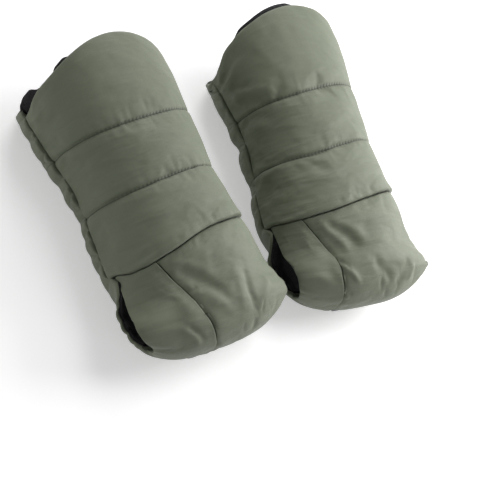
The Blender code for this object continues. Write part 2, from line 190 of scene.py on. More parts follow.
# %% [markdown]
# A panel of cloth is a grid. Its rows follow the path and its columns are spaced evenly along the
# cloth itself, closer together at the edges, where the fold needs them. With even columns a pucker is
# as wide at the side of the muff as on its top.

# %% Panels
MM = 0.001
RIM_LINES = (0, 0.25, 0.8, 1.6, 2.8)


def eased(start, end, count):
    """Places from start to end, a little closer together at both."""
    step = np.linspace(0, 1, count + 1)
    return start + (end - start) * (0.5 * step + 0.5 * (1 - np.cos(np.pi * step)) / 2)


def edged(count, length):
    """Shares from 0 to 1 for a piece of this length in mm, with extra lines close to both ends."""
    rim = np.array(RIM_LINES) / length
    inner = np.linspace(rim[-1] * 1.8, 1 - rim[-1] * 1.8, count)
    return np.concatenate([rim, inner, 1 - rim[::-1]])


class Panel:
    """Grid of points of one panel, with the cloth's own measures at each of them."""

    def __init__(self, side, paths, low, high, shares, upper=True):
        self.side, self.upper = side, upper
        points, angles, arcs, widths = [], [], [], []
        for path, start, end in zip(paths, low, high):
            dense = np.linspace(start, end, 241)
            line = sewn(side, path, dense, upper)
            length = np.concatenate([[0], np.cumsum(np.linalg.norm(np.diff(line, axis=0), axis=1))])
            angle = np.interp(shares * length[-1], length, dense)
            points.append(sewn(side, path, angle, upper))
            angles.append(angle)
            arcs.append(shares * length[-1] + self.arc_to(path, start))
            widths.append(length[-1])
        self.points, self.angle, self.arc = np.array(points), np.array(angles), np.array(arcs)
        self.path = np.asarray(paths)[:, None] + 0 * self.angle
        self.cloth = np.stack([self.arc, self.path], -1)
        width = np.array(widths)[:, None]
        self.from_first, self.from_last = shares * width, (1 - shares) * width
        self.from_side = np.minimum(self.from_first, self.from_last)
        steps = np.linalg.norm(np.diff(self.points, axis=0), axis=2)
        run = np.concatenate([0 * steps[:1], np.cumsum(steps, axis=0)])
        self.from_start, self.from_end = run, run[-1] - run
        self.normals = self.facing_out()

    def arc_to(self, path, angle):
        """Length of cloth from the top line to this angle, above 0 on the left."""
        line = sewn(self.side, path, np.linspace(math.pi / 2, angle, 121), self.upper)
        length = np.linalg.norm(np.diff(line, axis=0), axis=1).sum()
        return math.copysign(length, angle - math.pi / 2)

    def facing_out(self):
        normal = np.cross(np.gradient(self.points, axis=1), np.gradient(self.points, axis=0))
        normal /= np.maximum(np.linalg.norm(normal, axis=2, keepdims=True), 1e-12)
        row, column = 2, normal.shape[1] // 2
        away = self.points[row, column] - np.array([0, self.points[row, column, 1], SEAM])
        self.turned = normal[row, column] @ away < 0
        return -normal if self.turned else normal

    def edge_distance(self):
        return np.minimum(self.from_side, np.minimum(self.from_start, self.from_end))


test = Panel("left", eased(0, HEM, 20), [0.01] * 21, [math.pi - 0.01] * 21, edged(20, 230))
print("front cloth is", round(float(np.ptp(test.arc[0])) * 1000), "mm across at the cuff")

# %% [markdown]
# Padded cloth has a few kinds of relief. Between two stitch lines it rises in a crown. Along a stitch
# line it is drawn into a groove, and the thread gathers it into short puckers that die out within a
# centimetre. Across the panels run long soft folds. Each kind is a small function here, and a panel
# adds up those it needs. Seeded noise gives the unevenness, so that every run makes the same cloth.

# %% Relief of sewn cloth
def smooth(x):
    x = np.clip(x, 0, 1)
    return x * x * (3 - 2 * x)


def fading(distance, reach):
    """1 where the distance is 0, and 0 from the reach on, which is given in mm."""
    return 1 - smooth(distance / (reach * MM))


def noise_line(x, scale, seed):
    """Smooth noise from -1 to 1 along one direction."""
    table = np.random.default_rng(seed).uniform(-1, 1, 512)
    x = np.asarray(x) / scale + 100
    cell = np.floor(x).astype(int)
    return table[cell % 512] + (table[(cell + 1) % 512] - table[cell % 512]) * smooth(x - cell)


def noise_sheet(x, y, scale, seed):
    """Smooth noise from -1 to 1 over a surface. scale is one length or one for each direction."""
    table = np.random.default_rng(seed).uniform(-1, 1, (128, 128))
    sx, sy = scale if isinstance(scale, tuple) else (scale, scale)
    x, y = np.asarray(x) / sx + 50, np.asarray(y) / sy + 50
    i, j = np.floor(x).astype(int), np.floor(y).astype(int)
    fx, fy = smooth(x - i), smooth(y - j)
    i0, i1, j0, j1 = i % 128, (i + 1) % 128, j % 128, (j + 1) % 128
    near = table[i0, j0] + (table[i1, j0] - table[i0, j0]) * fx
    return near + (table[i0, j1] + (table[i1, j1] - table[i0, j1]) * fx - near) * fy


def crown(share, sharpness=0.55):
    return np.clip(4 * share * (1 - share), 0, 1) ** sharpness


def puckers(distance, along_line, seed, height=1.0 * MM, pitch=4.2 * MM, reach=6 * MM):
    """Short gathers beside a seam: distance is measured from it, along_line on it."""
    ripple = noise_line(along_line, pitch, seed) + 0.5 * noise_line(along_line, pitch * 2.7, seed + 1)
    patchy = 0.55 + 0.45 * noise_line(along_line, pitch * 7, seed + 2)
    away = np.abs(distance)
    return height * ripple * patchy * np.exp(-away / reach) * (1 - np.exp(-((away / (0.8 * MM)) ** 2)))


def gathers(distance, along, seed, depth, spacing, reach):
    """Tucks that run out from a gathered seam, each with its own place, slant and depth."""
    rng = np.random.default_rng(seed)
    places = np.cumsum(rng.uniform(0.5, 1.6, 40)) * spacing - 0.01
    relief = np.zeros(np.broadcast(distance, along).shape)
    for place, slant, weight in zip(places, rng.uniform(-0.6, 0.6, 40), rng.uniform(0.25, 1, 40)):
        away = np.abs(along - place - slant * distance)
        relief -= weight * np.exp(-away / (2.0 * MM + 0.14 * distance))
    return depth * (relief + 0.4) * np.exp(-distance / reach)


def groove(distance, depth, width):
    return -depth * np.exp(-((distance / width) ** 2))


def rolled(distance, radius):
    """How far a rounded edge has dropped at this distance from it."""
    inside = radius - np.minimum(distance, radius)
    return radius - np.sqrt(np.maximum(radius**2 - inside**2, 0))


def fold(x, y, width, height, *places):
    """A soft ridge, or a valley if height is below 0, along a line of places, fading at its ends."""
    points = np.reshape(np.asarray(places, float), (-1, 2)) * MM
    best, share = np.full(np.shape(x), 1e9), np.zeros(np.shape(x))
    lengths = np.linalg.norm(np.diff(points, axis=0), axis=1)
    done = 0.0
    for start, step, length in zip(points, np.diff(points, axis=0), lengths):
        t = np.clip(((x - start[0]) * step[0] + (y - start[1]) * step[1]) / length**2, 0, 1)
        away = np.hypot(x - start[0] - t * step[0], y - start[1] - t * step[1])
        nearer = away < best
        best, share = np.where(nearer, away, best), np.where(nearer, done + t * length, share)
        done += length
    fade = smooth(share / done * 4 + 0.25) * smooth((1 - share / done) * 3)
    return height * MM * fade * np.exp(-((best / (width * MM)) ** 2))


sample = float(puckers(np.array(2 * MM), np.array(0.0), 1))
print("a pucker is", round(sample * 1e6), "micrometres high here")

# %% [markdown]
# A padded panel becomes one closed form: the outer cloth with its relief, an inner face as deep as the
# wadding, and a rim that joins them. Its edges are rolled like a seam turned inside out. The form is
# moved from the muff's own frame to its place on the bar. It keeps a map of the cloth in real
# metres, so that the weave follows the thread and not the room. At the end it rides on a body of the
# CAD model and takes the place of its nodes there.

# %% From grids to closed forms
LEAST_DEPTH, INNER_FLOOR = 0.5 * MM, 1.2 * MM


def place_of(side):
    hand = SIDES[side]
    place = Matrix.Translation((hand * MUFF_SPACING / 2, BAR_Y, 0))
    return place @ Matrix.Rotation(-hand * SPLAY, 4, "Z")


def quads_of(rows, columns, ring=False):
    r, c = np.meshgrid(np.arange(rows - 1), np.arange(columns if ring else columns - 1), indexing="ij")
    a, b = r * columns + c, r * columns + (c + 1) % columns
    return np.stack([a, b, b + columns, a + columns], -1).reshape(-1, 4)


def new_object(name, points, faces):
    """A mesh object made from points and faces, linked to the scene."""
    data = bpy.data.meshes.new(name)
    data.from_pydata(np.asarray(points).tolist(), [], np.asarray(faces).tolist())
    piece = bpy.data.objects.new(name, data)
    bpy.context.scene.collection.objects.link(piece)
    return piece


def offset(panel, height, floor):
    """The panel's grid moved outwards by this height, but never below the floor."""
    grid = panel.points + panel.normals * height[..., None]
    grid[..., 2] = np.maximum(grid[..., 2], floor)
    return grid


def solid_between(name, outer, inner, cloth, side, ring=False):
    """One closed mesh between two grids of points of the same size."""
    rows, columns = outer.shape[:2]
    count, last, end = rows * columns, columns if ring else columns - 1, (rows - 1) * columns
    column, start = np.arange(last), np.arange(rows - 1) * columns
    beside, far = (column + 1) % columns, start + last
    rims = [(beside, column), (end + column, end + beside)]
    if not ring:
        rims += [(start, start + columns), (far + columns, far)]
    walls = [np.stack([a, b, b + count, a + count], -1) for a, b in rims]
    quads = quads_of(rows, columns, ring)
    faces = np.concatenate([quads, quads[:, ::-1] + count, *walls])
    points = np.concatenate([outer.reshape(-1, 3), inner.reshape(-1, 3)])
    middle = faces[rows // 2 * last + last // 2]
    corner = points[middle]
    facing = np.cross(corner[1] - corner[0], corner[3] - corner[0])
    if facing @ (corner[0] - points[middle[0] + count]) < 0:
        faces = faces[:, ::-1]
    piece = new_object(name, points, faces)
    data = piece.data
    layer = data.uv_layers.new(name="cloth")
    flat = np.concatenate([cloth.reshape(-1, 2)] * 2)
    loops = np.zeros(len(data.loops), np.int32)
    data.loops.foreach_get("vertex_index", loops)
    layer.uv.foreach_set("vector", flat[loops].astype(np.float32).ravel())
    data.transform(place_of(side))
    data.shade_smooth()
    return piece


def padded_form(name, panel, lift, depth, roll, swelled):
    """The closed form of a padded panel. lift and depth are heights over its swelled and sewn surface."""
    drop = rolled(panel.edge_distance(), roll)
    inner = offset(panel, -np.maximum(depth, drop + LEAST_DEPTH), INNER_FLOOR)
    panel.points = swelled
    panel.normals = panel.facing_out()
    panel.outer = offset(panel, lift - drop, 0.0)
    return solid_between(name, panel.outer, inner, panel.cloth, panel.side)


def finish_piece(piece, body, material, *nodes, fill=None, slot="shell_fabric"):
    """What every piece gets: its material, its body and the nodes it stands for, which are hidden. slot and
    fill are not used.
    """
    piece.data.materials.append(material)
    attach(piece, body)
    if nodes:
        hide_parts(*nodes)
    print(piece.name, "rides on", body, "with", len(piece.data.vertices), "vertices")


print("muffs stand at", [round(place_of(side).translation.x, 4) for side in SIDES])

# %% [markdown]
# Wadding pushes the cloth out until its seams hold it. A short cloth simulation gives rounder and less
# even shapes: the sheet is pinned along its seams, cut a little too large and pressed from inside.

# %% Letting the cloth settle
PRESSURE, FARTHEST, SETTLING_FRAMES = 5.0, 9 * MM, 20


def soften(grid):
    """Smooths a grid a little, with its border kept."""
    beside = grid[:-2, 1:-1] + grid[2:, 1:-1] + grid[1:-1, :-2] + grid[1:-1, 2:]
    inner = grid[1:-1, 1:-1] * 4 + 2 * beside
    inner = inner + grid[:-2, :-2] + grid[:-2, 2:] + grid[2:, :-2] + grid[2:, 2:]
    grid = grid.copy()
    grid[1:-1, 1:-1] = inner / 16
    return grid


def settled(panel, start, held, looseness):
    held[[0, -1]] = held[:, [0, -1]] = True
    quads = quads_of(*held.shape)
    sheet = new_object("settling cloth", start.reshape(-1, 3), quads[:, ::-1] if panel.turned else quads)
    data = sheet.data
    sheet.vertex_groups.new(name="held").add(np.flatnonzero(held).tolist(), 1.0, "REPLACE")
    cloth = sheet.modifiers.new("cloth", "CLOTH")
    rules = cloth.settings
    rules.vertex_group_mass, rules.pin_stiffness = "held", 1.0
    rules.use_pressure, rules.uniform_pressure_force = True, PRESSURE
    rules.shrink_min = rules.shrink_max = -looseness
    rules.bending_stiffness, rules.effector_weights.gravity = 0.05, 0.0
    cloth.collision_settings.use_collision = False
    cloth.point_cache.frame_start, cloth.point_cache.frame_end = 1, SETTLING_FRAMES
    for step in range(1, SETTLING_FRAMES + 1):
        bpy.context.scene.frame_set(step)
    rest = sheet.evaluated_get(bpy.context.evaluated_depsgraph_get()).data
    points = np.zeros(len(rest.vertices) * 3, np.float32)
    rest.vertices.foreach_get("co", points)
    bpy.data.objects.remove(sheet)
    bpy.data.meshes.remove(data)
    bpy.context.scene.frame_set(1)
    moved = points.reshape(start.shape) - start
    length = np.linalg.norm(moved, axis=2, keepdims=True)
    return start + soften(moved * np.minimum(1, FARTHEST / np.maximum(length, 1e-9)))


print("the cloth settles in", SETTLING_FRAMES, "frames")

# %% [markdown]
# ## Materials
#
# Four materials dress the muffs: satin polyester, black fleece, sewing thread and gunmetal. They are
# built from nodes and not from pictures, so that they stay sharp from near by. Each effect is a node
# group that only puts out heights and masks, and each material feeds them to its own shader. The
# helpers here save many lines, because every node is made, set and linked in the same way.

# %% Node helpers
def node_tree(name, place, values, outputs):
    """A new node group: one vector and these values go in, and these values come out."""
    tree = bpy.data.node_groups.new(name, "ShaderNodeTree")
    tree.interface.new_socket(name=place, in_out="INPUT", socket_type="NodeSocketVector")
    for in_out, labels in (("INPUT", values), ("OUTPUT", outputs)):
        for label in labels:
            tree.interface.new_socket(name=label, in_out=in_out, socket_type="NodeSocketFloat")
    return tree, tree.nodes.new("NodeGroupInput").outputs, tree.nodes.new("NodeGroupOutput").inputs


def add(tree, kind, inputs=None, **settings):
    """Adds a node. inputs maps a socket's name or number to a value or to another node's output."""
    node = tree.nodes.new("ShaderNode" + kind)
    for key, value in settings.items():
        setattr(node, key, value)
    for key, value in (inputs or {}).items():
        if isinstance(value, bpy.types.NodeSocket):
            tree.links.new(value, node.inputs[key])
        else:
            node.inputs[key].default_value = value
    return node


def maths(tree, operation, a, b=0.0, clamp=False):
    return add(tree, "Math", {0: a, 1: b}, operation=operation, use_clamp=clamp).outputs[0]


print("node helpers ready")

# %% [markdown]
# The shell is a plain weave of fine threads, some of them a little thicker. A picture of cloth would
# blur from near by and repeat itself. Two crossed waves over the cloth's own map make the threads at
# their real width instead, and stretched noise makes the thick ones.

# %% Weave group
THREADS_PER_METRE = 1800.0


def make_weave_group():
    """Plain weave from two crossed wave patterns over the cloth's own map, and its slubs."""
    tree, come, go = node_tree("woven threads", "Cloth", ("Slub",), ("Height", "Shade"))
    axes = add(tree, "SeparateXYZ", {0: come["Cloth"]})
    waves = []
    for axis in ("X", "Y"):
        turns = maths(tree, "MULTIPLY", axes.outputs[axis], THREADS_PER_METRE)
        waves.append(maths(tree, "SINE", maths(tree, "MULTIPLY", turns, math.tau)))
    crossed = maths(tree, "MULTIPLY", waves[0], waves[1])
    slubs = 0.0
    for scale in ((620, 45, 1), (50, 560, 1)):
        stretched = add(tree, "Mapping", {"Vector": come["Cloth"], "Scale": scale})
        slub = add(tree, "TexNoise", {"Vector": stretched.outputs[0], "Scale": 1.0, "Detail": 2.0})
        slubs = maths(tree, "ADD", maths(tree, "SUBTRACT", slub.outputs["Fac"], 0.5), slubs)
    uneven = maths(tree, "MULTIPLY", slubs, come["Slub"])
    height = maths(tree, "ADD", maths(tree, "MULTIPLY", crossed, 0.5), uneven)
    tree.links.new(height, go["Height"])
    tree.links.new(maths(tree, "ADD", uneven, 0.5), go["Shade"])
    return tree


weave_group = make_weave_group()
print("weave sockets:", [socket.name for socket in weave_group.interface.items_tree])

# %% [markdown]
# A stitch line pulls the cloth in, and its groove and the small puckers at the needle's holes lie in
# shade. That shade is painted: a dark crease along the line, with a tick at every hole of the needle.
# These marks are finer than the mesh, so they are a mask that darkens the dye with painted shade. The
# ticks are full on the right and fade out towards the left.

# %% Painted stitch shade group
NEEDLE_PITCH, STITCH_SHADE_WIDTH = 4.5 * MM, 2.6 * MM


def make_stitch_shade_group():
    """Painted shade: a dark crease along the two stitch lines, and ticks across it where the thread goes
    down and the cloth puckers.
    """
    tree, come, go = node_tree("painted stitch shade", "Cloth", (), ("Mask",))
    axes = add(tree, "SeparateXYZ", {0: come["Cloth"]})
    near = 1.0
    for line in (FIRST, SECOND):
        away = maths(tree, "ABSOLUTE", maths(tree, "SUBTRACT", axes.outputs["Y"], line))
        near = maths(tree, "MINIMUM", away, near)
    # The crease and the ticks are painted shade of the stitch groove and its puckers.
    share = maths(tree, "DIVIDE", near, STITCH_SHADE_WIDTH)
    wide = maths(tree, "SUBTRACT", 1.0, share, clamp=True)
    crease = maths(tree, "SUBTRACT", 1.0, maths(tree, "MULTIPLY", share, 3.0), clamp=True)
    uneven = add(tree, "TexNoise", {"Vector": come["Cloth"], "Scale": 90.0, "Detail": 1.0})
    turns = maths(tree, "MULTIPLY", axes.outputs["X"], math.tau / NEEDLE_PITCH)
    strength = maths(tree, "MULTIPLY", maths(tree, "SUBTRACT", uneven.outputs["Fac"], 0.35), 4.0)
    wave = maths(tree, "MULTIPLY", maths(tree, "SINE", turns), 1.8)
    ticks = maths(tree, "ADD", wave, strength, clamp=True)
    to_right = maths(tree, "SUBTRACT", 1.1, maths(tree, "MULTIPLY", axes.outputs["X"], 10.0), clamp=True)
    ticks = maths(tree, "MULTIPLY", maths(tree, "MULTIPLY", wide, ticks), to_right)
    crease = maths(tree, "MULTIPLY", crease, 0.7)
    tree.links.new(maths(tree, "MAXIMUM", crease, ticks, clamp=True), go["Mask"])
    return tree


stitch_shade_group = make_stitch_shade_group()
print("painted stitch shade every", round(NEEDLE_PITCH * 1000, 1), "mm")

# %% [markdown]
# Two effects are shared. Fleece and thread both consist of fibres, and hair would cost far more than
# such dark fibres show, so a fine bump stands for them. Handled cloth has faint creases and a mottled
# dye, and worn plating looks much the same on a finer scale.

# %% Pile and crinkle groups
def make_pile_group():
    """Short curled fibres: fine noise for the tips over a coarser one for the tufts."""
    tree, come, go = node_tree("fibre pile", "Place", ("Tuft",), ("Height", "Shade"))
    tufts = add(tree, "TexVoronoi", {"Vector": come["Place"], "Scale": come["Tuft"]})
    fine = maths(tree, "MULTIPLY", come["Tuft"], 5.0)
    tips = add(tree, "TexNoise", {"Vector": come["Place"], "Scale": fine, "Detail": 4.0})
    rise = maths(tree, "MULTIPLY", tufts.outputs["Distance"], 1.2)
    tree.links.new(maths(tree, "ADD", rise, tips.outputs["Fac"]), go["Height"])
    tree.links.new(tips.outputs["Fac"], go["Shade"])
    return tree


def make_crinkle_group():
    """Faint creases that handling leaves in thin cloth, and the soft mottle of its dye."""
    tree, come, go = node_tree("handled cloth", "Place", ("Size",), ("Height", "Mottle"))
    bent = add(tree, "TexNoise", {"Vector": come["Place"], "Scale": come["Size"], "Detail": 2.0,
                                  "Roughness": 0.45, "Distortion": 0.2})
    wide = maths(tree, "MULTIPLY", come["Size"], 0.45)
    mottle = add(tree, "TexNoise", {"Vector": come["Place"], "Scale": wide, "Detail": 2.0})
    tree.links.new(bent.outputs["Fac"], go["Height"])
    tree.links.new(mottle.outputs["Fac"], go["Mottle"])
    return tree


pile_group, crinkle_group = make_pile_group(), make_crinkle_group()
print("groups:", [group.name for group in bpy.data.node_groups])

# %% [markdown]
# Each material places the groups that it needs with values of its own. Its colours are given as they
# look on a screen, from 0 to 255, because they can be compared with the photograph that way, and one
# function turns them into scene colours.

# %% Material helpers
def start_material(name, rough, **settings):
    """A material with its shader's own values. In a setting's name an underscore stands for a space."""
    material = bpy.data.materials.new(name)
    material.use_nodes = True
    tree = material.node_tree
    shader = tree.nodes["Principled BSDF"]
    shader.inputs["Roughness"].default_value = rough
    for key, value in settings.items():
        shader.inputs[key.replace("_", " ")].default_value = value
    return material, tree, shader


def linear(red, green, blue):
    """Scene colour of a colour read off a screen in 0 to 255."""
    shares = [c / 255 for c in (red, green, blue)]
    return tuple(c / 12.92 if c < 0.0404 else ((c + 0.055) / 1.055) ** 2.4 for c in shares) + (1,)


def shade_between(tree, factor, dark, light, shader):
    mixed = add(tree, "Mix", {0: factor, 6: dark, 7: light}, data_type="RGBA")
    tree.links.new(mixed.outputs[2], shader.inputs["Base Color"])
    return mixed.outputs[2]


def bumped(tree, shader, *heights):
    """Chains bump nodes, coarse to fine. Each height is a socket, a strength and a distance."""
    normal = None
    for socket, strength, distance in heights:
        bump = add(tree, "Bump", {"Height": socket, "Strength": strength, "Distance": distance})
        if normal:
            tree.links.new(normal, bump.inputs["Normal"])
        normal = bump.outputs["Normal"]
    tree.links.new(normal, shader.inputs["Normal"])


def rough_between(tree, socket, low, high, shader):
    rough = add(tree, "MapRange", {"Value": socket, 3: low, 4: high})
    tree.links.new(rough.outputs[0], shader.inputs["Roughness"])


print("the shell's green in scene colours:", [round(c, 3) for c in linear(121, 127, 108)[:3]])

# %% Materials
def shell_material():
    material, tree, shader = start_material("satin shell", 0.6, Specular_IOR_Level=0.3, Sheen_Weight=0.12,
                                            Sheen_Roughness=0.4)
    cloth = add(tree, "UVMap", uv_map="cloth").outputs[0]
    drawn = add(tree, "Mapping", {"Vector": cloth, "Scale": (0.5, 1.5, 1)}).outputs[0]
    weave = add(tree, "Group", {"Cloth": cloth, "Slub": 0.6}, node_tree=weave_group)
    crinkle = add(tree, "Group", {"Place": drawn, "Size": 48.0}, node_tree=crinkle_group)
    mixed = maths(tree, "ADD", maths(tree, "MULTIPLY", weave.outputs["Shade"], 0.5),
                  maths(tree, "MULTIPLY", crinkle.outputs["Mottle"], 0.5))
    dyed = shade_between(tree, mixed, linear(106, 112, 95), linear(121, 127, 108), shader)
    # Painted shade: the stitch grooves and their puckers darken the dye towards a deep green.
    marks = add(tree, "Group", {"Cloth": cloth}, node_tree=stitch_shade_group)
    stitch_shade_share = maths(tree, "MULTIPLY", marks.outputs["Mask"], 0.85)
    shade_between(tree, stitch_shade_share, dyed, linear(38, 41, 34), shader)
    rough_between(tree, crinkle.outputs["Mottle"], 0.54, 0.64, shader)
    bumped(tree, shader, (crinkle.outputs["Height"], 0.6, 0.005), (weave.outputs["Height"], 0.3, 0.00025))
    return material


def fibre_material(name, rough, tuft, dark, light, strength, distance, **settings):
    """A soft material of fibres: tuft says how many stand on a metre, dark and light colour them."""
    material, tree, shader = start_material(name, rough, **settings)
    place = add(tree, "TexCoord").outputs["Object"]
    pile = add(tree, "Group", {"Place": place, "Tuft": tuft}, node_tree=pile_group)
    shade_between(tree, pile.outputs["Shade"], linear(*dark), linear(*light), shader)
    bumped(tree, shader, (pile.outputs["Height"], strength, distance))
    return material


def metal_material():
    """Gunmetal plating with fine turning marks and a little wear."""
    material, tree, shader = start_material("gunmetal snaps", 0.32, Metallic=1.0)
    place = add(tree, "TexCoord").outputs["Object"]
    crinkle = add(tree, "Group", {"Place": place, "Size": 420.0}, node_tree=crinkle_group)
    shade_between(tree, crinkle.outputs["Mottle"], linear(92, 93, 96), linear(138, 139, 142), shader)
    rough_between(tree, crinkle.outputs["Height"], 0.24, 0.42, shader)
    bumped(tree, shader, (crinkle.outputs["Height"], 0.12, 0.0002))
    return material


shell, metal = shell_material(), metal_material()
fleece = fibre_material("black fleece", 0.95, 300.0, (9, 9, 12), (27, 27, 33), 0.7, 0.0012,
                        Sheen_Weight=0.06, Sheen_Roughness=0.7)
thread = fibre_material("sewing thread", 0.6, 900.0, (48, 51, 43), (80, 84, 72), 0.3, 0.0002)
print("materials:", [material.name for material in (shell, fleece, thread, metal)])

# %% [markdown]
# ## The quilted front
#
# The front is one panel with two stitch lines across it. The wadding swells between the lines, and
# the last channel ends in the folded hem that stands a little proud of the toe hood. It could be swelled
# by a formula alone, but a short cloth simulation, held at the seams, gives rounder channels. The folds
# were measured off the photograph. Each row of the table holds a fold's width, its height and
# the places that it runs through, all in millimetres.

# %% Measured folds
FOLDS = {
    "left": {
        "front": (
            (4.5, 1.1, 118, 16, 86, 28), (4.5, -1.2, 112, 27, 78, 41), (5, 1.3, 114, 44, 75, 57),
            (6, -1.1, 103, 80, 78, 93), (2.5, 0.9, 109, 90, 98, 92), (3, 0.8, 93, 106, 80, 106),
        ),
        "toe_panel": (
            (4.5, 1, 57, 203, 40, 214, 23, 226, 5, 244), (5.5, -2.4, 49, 216, 25, 237, 10, 251, -2, 264),
            (5, 1.6, 47, 229, 29, 249, 14, 258, 0, 270), (4.5, -2.2, -29, 240, -23, 257, -26, 276),
            (5, 1.2, -17, 238, -12, 255, -8, 272), (4.5, 1.9, -59, 252, -40, 266, -29, 279),
            (2.5, -1.6, -39, 268, -35, 281), (2.4, -1.5, 46, 241, 31, 240), (3, 1.2, 47, 247, 29, 245),
            (3, -1.8, 32, 292, 26, 296), (4, -1.6, -25, 284, -28, 298),
        ),
        "toe_gusset": (
            (3.5, 1.6, 66, 270, 52, 284, 41, 299), (3, -1.5, 59, 268, 47, 281, 38, 292),
            (6, -1.3, 60, 240, 68, 268),
        ),
    },
    "right": {
        "front": (
            (4, 2, 122, 25, 101, 25, 82, 22), (6, -2.2, 116, 19, 90, 13, 76, 8),
            (3, -2.3, 104, 33, 89, 40, 74, 45), (5, 2.4, 106, 41, 82, 48, 65, 53, 46, 49),
            (3.2, -1.4, 60, 66, 53, 59, 42, 53), (4, 0.7, 64, 62, 56, 54), (4, -1.6, 100, 50, 66, 64),
            (5, -2.4, 103, 71, 64, 78), (5, 1.6, 107, 82, 70, 89),
        ),
        "toe_panel": (
            (5, 2.2, 66, 201, 53, 220, 39, 239, 33, 256), (5.5, -2.6, 58, 211, 39, 222, 28, 235, 18, 252),
            (6, 1.6, 51, 208, 25, 225, 5, 247), (5, -2.4, 10, 257, -6, 271, -18, 284),
            (3.2, 2.2, 54, 257, 45, 260, 37, 269, 27, 281), (2, -1.8, 50, 254, 39, 263),
            (5, -2.4, -47, 260, -32, 276, -23, 286), (4, 1.7, -53, 266, -44, 287),
            (4, 1.2, 0, 268, -12, 284), (2.5, 1.3, 46, 291, 38, 297), (2.5, -1.4, 45, 286, 35, 292),
        ),
        "toe_gusset": (
            (5, 1.2, 75, 262, 62, 285), (6, -1, 66, 252, 62, 275),
        ),
    },
}


def fold_relief(panel, word):
    relief = np.zeros_like(panel.path)
    for row in FOLDS[panel.side][word]:
        relief += fold(panel.arc, panel.path, *row)
    return relief * (1.0 if word == "front" else 0.75)


print("folds:", {side: [len(rows) for rows in words.values()] for side, words in FOLDS.items()})

# %% Quilted front
CORNER = {"left": 9 * MM, "right": 8 * MM}
SIDE_SHARE, CUFF_DEPTH, FRONT_CUFF_REACH = 0.4, 1.9 * MM, 34
HEM_RISE, FRONT_LOOSENESS = 2.6 * MM, 0.022


def channel_crown(panel):
    """Rise of the wadding between the stitch lines, lower towards the side seams."""
    rise = np.zeros_like(panel.path)
    for start, end in zip(LINES[:3], LINES[1:4]):
        inside = (panel.path >= start) & (panel.path < end)
        share = (panel.path - start) / (end - start)
        rise = np.where(inside, crown(share), rise)
    hem = smooth((panel.path - SECOND) / (HEM - SECOND) * 2) * 0.6
    rise = np.where(panel.path > (SECOND + HEM) / 2, np.maximum(rise, hem), rise)
    sides = SIDE_SHARE + (1 - SIDE_SHARE) * np.abs(np.sin(panel.angle))
    return CROWN * rise * sides


def joined_paths(ends, counts):
    """Rows of a panel: eased between each two ends, with every seam met once."""
    spans = [eased(*span)[1:] for span in zip(ends, ends[1:], counts)]
    return np.concatenate([[ends[0]], *spans])


def cuff_taper(panel):
    """Depth of the wadding, thin at the cuff."""
    return CUFF_DEPTH + (PADDING - CUFF_DEPTH) * smooth(panel.path / (14 * MM))


def make_front(side):
    seed = 11 if side == "left" else 47
    paths = joined_paths((0, FIRST, SECOND, HEM), (27, 27, 27))
    low = [edge_angle(side, path, 0.4 * MM) for path in paths]
    panel = Panel(side, paths, low, [math.pi - angle for angle in low], edged(122, 230))
    near_cuff = fading(panel.path, FRONT_CUFF_REACH)
    panel.points[..., 1] -= CORNER[side] * near_cuff * np.abs(np.cos(panel.angle)) ** 32
    panel.normals = panel.facing_out()
    hem = HEM_RISE * smooth((panel.path - HEM) / (22 * MM) + 1) * np.abs(np.sin(panel.angle)) ** 0.5
    start = panel.points + panel.normals * (hem + 0.2 * channel_crown(panel))[..., None]
    held = np.isin(panel.path, (FIRST, SECOND))
    swelled = settled(panel, start, held, FRONT_LOOSENESS)
    lift = 0.4 * MM * noise_sheet(panel.arc, panel.path, (40 * MM, 25 * MM), seed + 20)
    lift += 0.22 * MM * noise_sheet(panel.arc, panel.path, (13 * MM, 9 * MM), seed + 21)
    from_edge = np.minimum(panel.from_start, panel.from_last)
    lift += fold_relief(panel, "front") * smooth(from_edge / (5 * MM))
    to_left = smooth(panel.arc / (90 * MM) + 0.5)
    for number, line in enumerate((FIRST, SECOND)):
        away = panel.path - line
        lift += puckers(away, panel.arc, seed + 5 * number, 0.9 * MM)
        lift += groove(away, 1.2 * MM, 1.1 * MM) + groove(away, 1.3 * MM, 3.0 * MM) * to_left
    piece = padded_form(f"{side}_front_cloth", panel, lift, cuff_taper(panel), 1.5 * MM, swelled)
    finish_piece(piece, "root", shell, f"{side}_quilted_front", f"{side}_front_wadding", fill=0.7)
    return panel


fronts = {side: make_front(side) for side in SIDES}

# %% [markdown]
# ## The back
#
# The back is the palm side. It is gathered into the side seams, lies flat where the muff rests, and
# turns up at the toe into a thin flap that the hood's lip overlaps. A simulation wouldn't put the tucks
# where the photograph shows them, so each one is a line of relief that runs out from a seam. The tables
# say how far the slits gape and how far the cloth is pushed out by the bar. They were measured.

# %% Slits and flares
SLIT_BELOW = {
    "left": ((0.190, 0.198, 0.206, 0.225, 0.252), (0.3, 3, 7, 9, 10)),
    "right": ((0.190, 0.198, 0.206, 0.225, 0.252), (0.3, 5, 11, 16, 17)),
}
SLIT_ABOVE = ((0.197, 0.212, 0.227, 0.240, 0.252, 0.275, 0.300, 0.330), (9, 10, 12, 15, 17, 20, 22, 22))
FLARE_PATHS = (0.190, 0.205, 0.220, 0.235, 0.252, 0.268, 0.284, 0.300, 0.320)
FLARE_REACH = 30
HOOD_FLARE = {
    ("left", -1): (-1, 0, 5, 13, 25, 23, 17, 8, 0),
    ("left", 1): (0, 0, 1, 3, 7, 11, 12, 5, 0),
    ("right", -1): (0, 1, 4, 10, 17, 16, 15, 12, 4),
    ("right", 1): (0, 0, 1, 3, 7, 12, 13, 5, 0),
}
BACK_FLARE = ((0.160, 0.180, 0.192, 0.205, 0.222, 0.237, 0.252, 0.275, 0.295), (0, 1, 2, 6, 8, 7, 5, 2, 0))
EDGE_RISE = (
    (0.180, 0.192, 0.199, 0.205, 0.212, 0.217, 0.222, 0.227, 0.237, 0.250),
    (0, 0, 12, 19, 16, 11, 6, 2.5, 0, 0),
)


